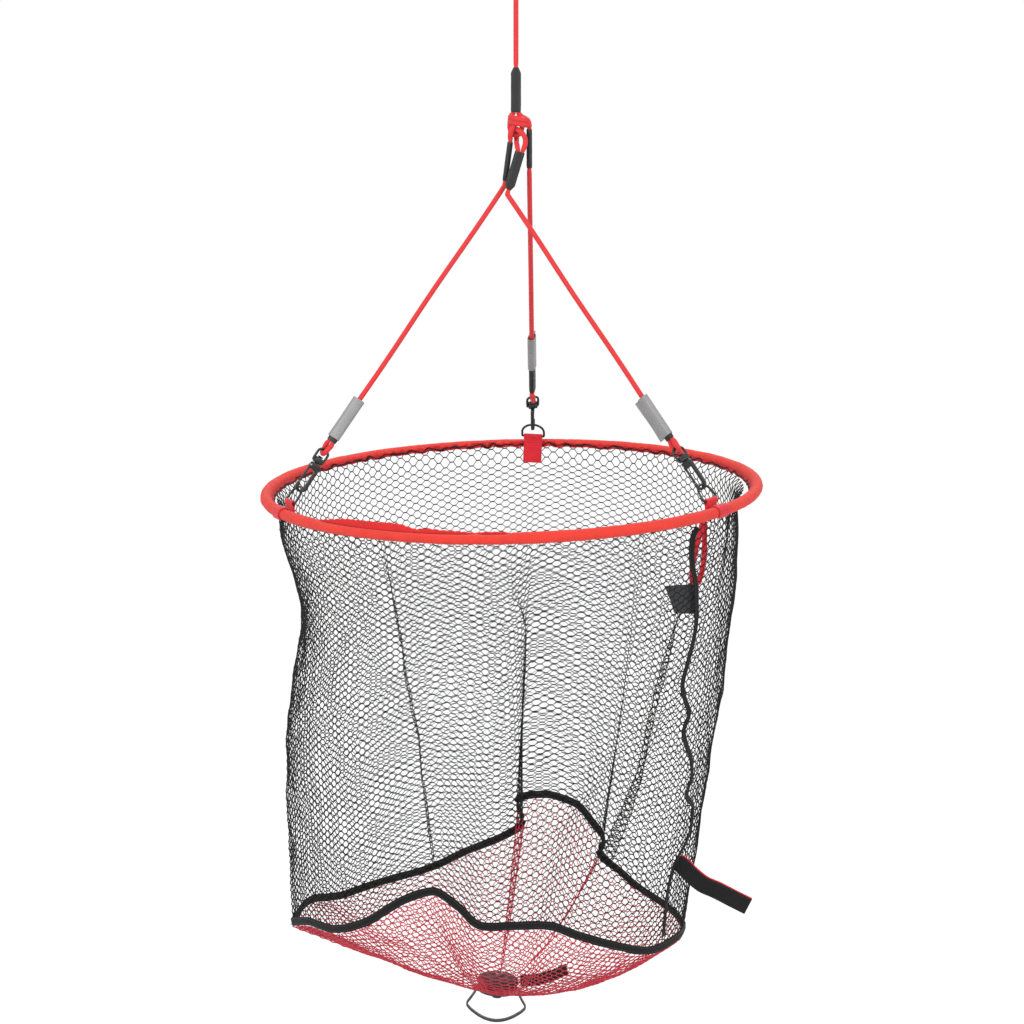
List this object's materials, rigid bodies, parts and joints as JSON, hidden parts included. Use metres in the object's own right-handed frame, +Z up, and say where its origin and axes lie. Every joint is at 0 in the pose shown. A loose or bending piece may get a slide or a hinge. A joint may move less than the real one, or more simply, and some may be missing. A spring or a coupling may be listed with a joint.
{
  "type": "drop net",
  "caption": "Round drop net: a hoop with a mesh bag hung from three rope legs on swivel snap hooks, with a weighted base, a storage strap and a hand loop.",
  "frame": {"origin": "inside top of the hand loop, where a hand or a hook carries the net", "axes": "+Z up along the hanging line; +X to the right and +Y away from the front of the net, which is the side seen in the picture, with one leg at the back and one at each side"},
  "size_m": [0.5994, 0.5996, 1.4405],
  "materials": {
    "rope_red": "braided polypropylene cord, matt",
    "shrink_black": "heat-shrink tube, soft sheen",
    "reflective_grey": "retroreflective tape, fine grain",
    "hook_black": "moulded plastic, satin",
    "blackened_steel": "black coated steel wire, satin",
    "bright_steel": "plain steel",
    "fabric_red": "woven nylon, matt",
    "net_black": "knotless mesh",
    "net_red": "knotless mesh",
    "tape_black": "woven binding tape, matt",
    "label_grey": "bare woven label",
    "base_rubber": "moulded, satin",
    "bail_grey": "moulded strap, satin"
  },
  "bodies": {
    "net": {"main_rope": "rope_red", "leg_rope_left": "rope_red", "leg_rope_right": "rope_red", "leg_rope_back": "rope_red", "main_rope_sleeve": "shrink_black", "hand_loop_sleeve": "shrink_black", "top_sleeve_left": "shrink_black", "top_sleeve_right": "shrink_black", "top_sleeve_back": "shrink_black", "bottom_sleeve_left": "shrink_black", "bottom_sleeve_right": "shrink_black", "bottom_sleeve_back": "shrink_black", "reflective_wrap_left": "reflective_grey", "reflective_wrap_right": "reflective_grey", "reflective_wrap_back": "reflective_grey", "swivel_eye_left": "hook_black", "swivel_eye_right": "hook_black", "swivel_eye_back": "hook_black", "hoop_wire": "bright_steel", "hoop_ferrule": "bright_steel", "base_nut": "bright_steel", "bail_pin_left": "blackened_steel", "bail_pin_right": "blackened_steel", "ring_tab_left": "fabric_red", "ring_tab_right": "fabric_red", "ring_tab_back": "fabric_red", "rim_sleeve_left": "fabric_red", "rim_sleeve_front": "fabric_red", "rim_sleeve_right": "fabric_red", "webbing_loop": "fabric_red", "net_hem": "tape_black", "net_band": "tape_black", "seam_tape": "tape_black", "inner_strap": "tape_black", "net_wall": "net_black", "net_floor": "net_red", "care_label": "label_grey", "base_weight": "base_rubber", "base_plate": "base_rubber", "base_bolt": "base_rubber"},
    "hook_left": {"snap_hook_left": "hook_black", "gate_pin_left": "bright_steel", "gate_spring_left": "bright_steel"},
    "gate_left": {"snap_gate_left": "hook_black"},
    "ring_left": {"d_ring_left": "blackened_steel"},
    "hook_right": {"snap_hook_right": "hook_black", "gate_pin_right": "bright_steel", "gate_spring_right": "bright_steel"},
    "gate_right": {"snap_gate_right": "hook_black"},
    "ring_right": {"d_ring_right": "blackened_steel"},
    "hook_back": {"snap_hook_back": "hook_black", "gate_pin_back": "bright_steel", "gate_spring_back": "bright_steel"},
    "gate_back": {"snap_gate_back": "hook_black"},
    "ring_back": {"d_ring_back": "blackened_steel"},
    "bail": {"base_bail": "bail_grey"},
    "strap": {"storage_strap": "tape_black"}
  },
  "joints": [
    {"name": "hook_swivel_left", "type": "hinge", "parent": "net", "child": "hook_left", "pos_m": [-0.23212, -0.10192, -0.71502], "axis": [0.554, 0.2582, 0.7915], "range_deg": [-20, 20]},
    {"name": "gate_hinge_left", "type": "hinge", "parent": "hook_left", "child": "gate_left", "pos_m": [-0.23836, -0.10478, -0.71573], "axis": [0.4156, -0.9095, 0.0058], "range_deg": [0, 15], "stiffness_Nm_per_rad": 0.02, "springref_deg": -17.19},
    {"name": "ring_hinge_left", "type": "hinge", "parent": "net", "child": "ring_left", "pos_m": [-0.26226, -0.11596, -0.75808], "axis": [0.4156, -0.9095, 0.0058], "range_deg": [-3, 3]},
    {"name": "hook_swivel_right", "type": "hinge", "parent": "net", "child": "hook_right", "pos_m": [0.19414, -0.14539, -0.70441], "axis": [-0.5356, 0.3502, 0.7684], "range_deg": [-20, 20]},
    {"name": "gate_hinge_right", "type": "hinge", "parent": "hook_right", "child": "gate_right", "pos_m": [0.19356, -0.14481, -0.71126], "axis": [-0.5687, -0.8223, -0.0216], "range_deg": [0, 15], "stiffness_Nm_per_rad": 0.02, "springref_deg": -17.19},
    {"name": "ring_hinge_right", "type": "hinge", "parent": "net", "child": "ring_right", "pos_m": [0.22327, -0.16444, -0.74621], "axis": [-0.5687, -0.8223, -0.0216], "range_deg": [-3, 3]},
    {"name": "hook_swivel_back", "type": "hinge", "parent": "net", "child": "hook_back", "pos_m": [0.02168, 0.24751, -0.7078], "axis": [-0.0146, -0.6046, 0.7964], "range_deg": [-20, 20]},
    {"name": "gate_hinge_back", "type": "hinge", "parent": "hook_back", "child": "gate_back", "pos_m": [0.02215, 0.25435, -0.70856], "axis": [-0.9968, 0.0718, 0.0363], "range_deg": [0, 15], "stiffness_Nm_per_rad": 0.02, "springref_deg": -17.19},
    {"name": "ring_hinge_back", "type": "hinge", "parent": "net", "child": "ring_back", "pos_m": [0.02247, 0.28041, -0.75112], "axis": [-0.9968, 0.0718, 0.0363], "range_deg": [-3, 3]},
    {"name": "bail_hinge", "type": "hinge", "parent": "net", "child": "bail", "pos_m": [-0.02273, 0, -1.39209], "axis": [0.9976, 0, -0.0698], "range_deg": [-70, 70]},
    {"name": "strap_flap", "type": "hinge", "parent": "net", "child": "strap", "pos_m": [0.19101, -0.10187, -1.19815], "axis": [0.09, 0.1799, 0.9796], "range_deg": [-35, 45]}
  ]
}
